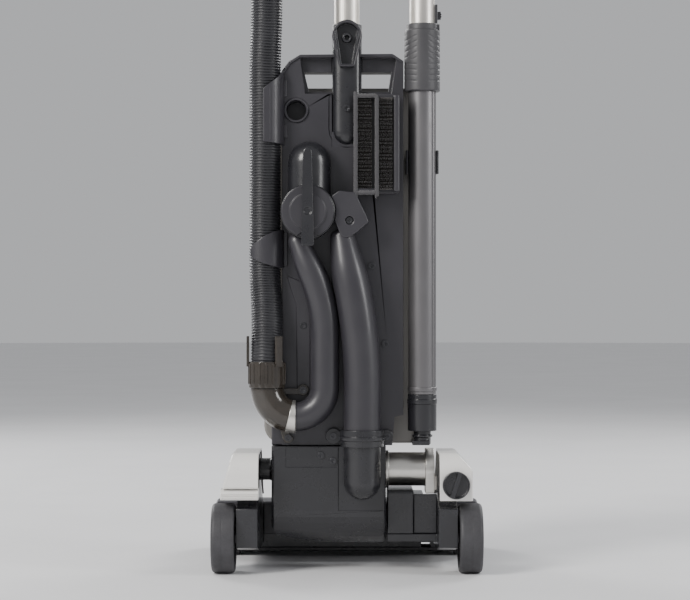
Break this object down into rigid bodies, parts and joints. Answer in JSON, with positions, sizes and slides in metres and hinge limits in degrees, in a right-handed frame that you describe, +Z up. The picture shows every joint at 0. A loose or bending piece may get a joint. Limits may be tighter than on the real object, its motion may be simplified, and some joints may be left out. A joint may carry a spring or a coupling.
{
  "type": "upright vacuum cleaner",
  "caption": "Upright vacuum cleaner with reclining body, stretch hose, telescopic wand, rear air ducts, brush tool and powered brush head.",
  "frame": {"origin": "centre of the footprint, on the floor", "axes": "+Z up, +Y towards the nozzle, +X to the right seen from behind"},
  "size_m": [0.3816, 0.327, 1.22],
  "materials": {
    "pearl": "satin pearl white moulding",
    "charcoal": "fine grained charcoal moulding",
    "black": "semi gloss black moulding",
    "silver": "satin warm silver paint",
    "tube": "satin champagne anodised",
    "smoke": "smoke brown translucent",
    "chrome": "polished band",
    "steel": "turned steel",
    "tyre": "moulded dark grey rubber",
    "rubber": "matte black rubber",
    "hose": "glossy black corrugated hose",
    "bristle": "dense black bristle",
    "bag": "folded filter fleece",
    "filter": "pleated filter media",
    "motor": "zinc plated motor can",
    "switch": "red rocker"
  },
  "bodies": {
    "head": {"head_chassis": "black", "nozzle_cover": "charcoal", "sole_plate": "black", "bumper": "rubber", "left_cover": "pearl", "right_cover": "pearl", "pivot_bracket": "silver", "brush_motor": "black", "drive_belt": "rubber", "wheel_axles": "steel"},
    "motor_pulley": {"motor_pulley": "steel"},
    "brush_roller": {"brush_roller": "rubber", "brush_bristles": "bristle"},
    "wheel_left": {"wheel_left": "tyre"},
    "wheel_right": {"wheel_right": "tyre"},
    "front_roller_left": {"front_roller_left": "tyre"},
    "front_roller_right": {"front_roller_right": "tyre"},
    "release_pedal": {"release_pedal": "pearl"},
    "height_knob": {"height_knob": "black"},
    "upright": {"motor_housing": "black", "swivel_tube": "tube", "suction_motor": "motor", "motor_fan": "motor", "motor_filter": "filter", "rear_shell": "charcoal", "front_shell": "silver", "filter_bag": "bag", "exhaust_filter": "filter", "handle_socket": "black", "handle_tube": "tube", "handle_grip": "black", "hose_hook": "black", "diverter_housing": "black", "port_block": "charcoal", "left_duct": "charcoal", "right_duct": "charcoal", "duct_clamp": "black", "duct_boot": "black", "elbow": "smoke", "elbow_band": "chrome", "hose_cuff": "smoke", "hose": "hose", "upper_hose_clip": "charcoal", "mid_hose_clip": "charcoal", "body_screws": "steel", "wand_cradle": "black"},
    "bag_door": {"bag_door": "silver"},
    "door_latch": {"door_latch": "black"},
    "power_switch": {"power_switch": "switch"},
    "diverter": {"diverter_dial": "charcoal", "diverter_lever": "black"},
    "brush_tool": {"brush_tool": "charcoal", "tool_bristles": "bristle"},
    "wand_lower": {"wand_lower_tube": "charcoal", "wand_collar": "black", "wand_cuff": "black"},
    "wand_button": {"wand_button": "black"},
    "wand_upper": {"wand_upper_tube": "tube", "wand_handpiece": "black", "hose_end_cuff": "smoke"}
  },
  "joints": [
    {"name": "body_recline", "type": "hinge", "parent": "head", "child": "upright", "pos_m": [0, -0.06, 0.125], "axis": [1, 0, 0], "range_deg": [0, 60]},
    {"name": "wheel_left_spin", "type": "hinge", "parent": "head", "child": "wheel_left", "pos_m": [-0.155, -0.12, 0.0435], "axis": [1, 0, 0], "continuous": true},
    {"name": "wheel_right_spin", "type": "hinge", "parent": "head", "child": "wheel_right", "pos_m": [0.155, -0.12, 0.0435], "axis": [1, 0, 0], "continuous": true},
    {"name": "front_roller_left_spin", "type": "hinge", "parent": "head", "child": "front_roller_left", "pos_m": [-0.15, 0.068, 0.013], "axis": [1, 0, 0], "continuous": true},
    {"name": "front_roller_right_spin", "type": "hinge", "parent": "head", "child": "front_roller_right", "pos_m": [0.15, 0.068, 0.013], "axis": [1, 0, 0], "continuous": true},
    {"name": "brush_spin", "type": "hinge", "parent": "head", "child": "brush_roller", "pos_m": [0, 0.118, 0.032], "axis": [1, 0, 0], "continuous": true},
    {"name": "motor_pulley_spin", "type": "hinge", "parent": "head", "child": "motor_pulley", "pos_m": [0.105, -0.06, 0.072], "axis": [1, 0, 0], "continuous": true},
    {"name": "pedal_press", "type": "hinge", "parent": "head", "child": "release_pedal", "pos_m": [-0.1335, -0.122, 0.0995], "axis": [1, 0, 0], "range_deg": [0, 8], "stiffness_Nm_per_rad": 1},
    {"name": "height_knob_turn", "type": "hinge", "parent": "head", "child": "height_knob", "pos_m": [0.135, -0.15, 0.112], "axis": [0, 1, 0], "range_deg": [-120, 120]},
    {"name": "bag_door_swing", "type": "hinge", "parent": "upright", "child": "bag_door", "pos_m": [0, 0.024, 0.614], "axis": [1, 0, 0], "range_deg": [0, 100]},
    {"name": "door_latch_press", "type": "slide", "parent": "bag_door", "child": "door_latch", "axis": [0, 0, 1], "range_m": [0, 0.006], "stiffness_N_per_m": 300},
    {"name": "switch_rock", "type": "hinge", "parent": "upright", "child": "power_switch", "pos_m": [0, -0.069, 1.1], "axis": [1, 0, 0], "range_deg": [0, 14]},
    {"name": "diverter_turn", "type": "hinge", "parent": "upright", "child": "diverter", "pos_m": [-0.04875, -0.14, 0.451], "axis": [0, 1, 0], "range_deg": [0, 90]},
    {"name": "brush_tool_pull", "type": "slide", "parent": "upright", "child": "brush_tool", "axis": [0, -1, 0], "range_m": [0, 0.05]},
    {"name": "wand_lift", "type": "slide", "parent": "upright", "child": "wand_lower", "axis": [0, 0, 1], "range_m": [0, 0.03]},
    {"name": "wand_button_slide", "type": "slide", "parent": "wand_lower", "child": "wand_button", "axis": [0, 0, -1], "range_m": [0, 0.004], "stiffness_N_per_m": 200},
    {"name": "wand_telescope", "type": "slide", "parent": "upright", "child": "wand_upper", "axis": [0, 0, 1], "range_m": [0, 0.3], "deforming": ["hose"]}
  ],
  "couplings": [
    {"joint": "motor_pulley_spin", "follows": "brush_spin", "ratio": 1.6875}
  ]
}
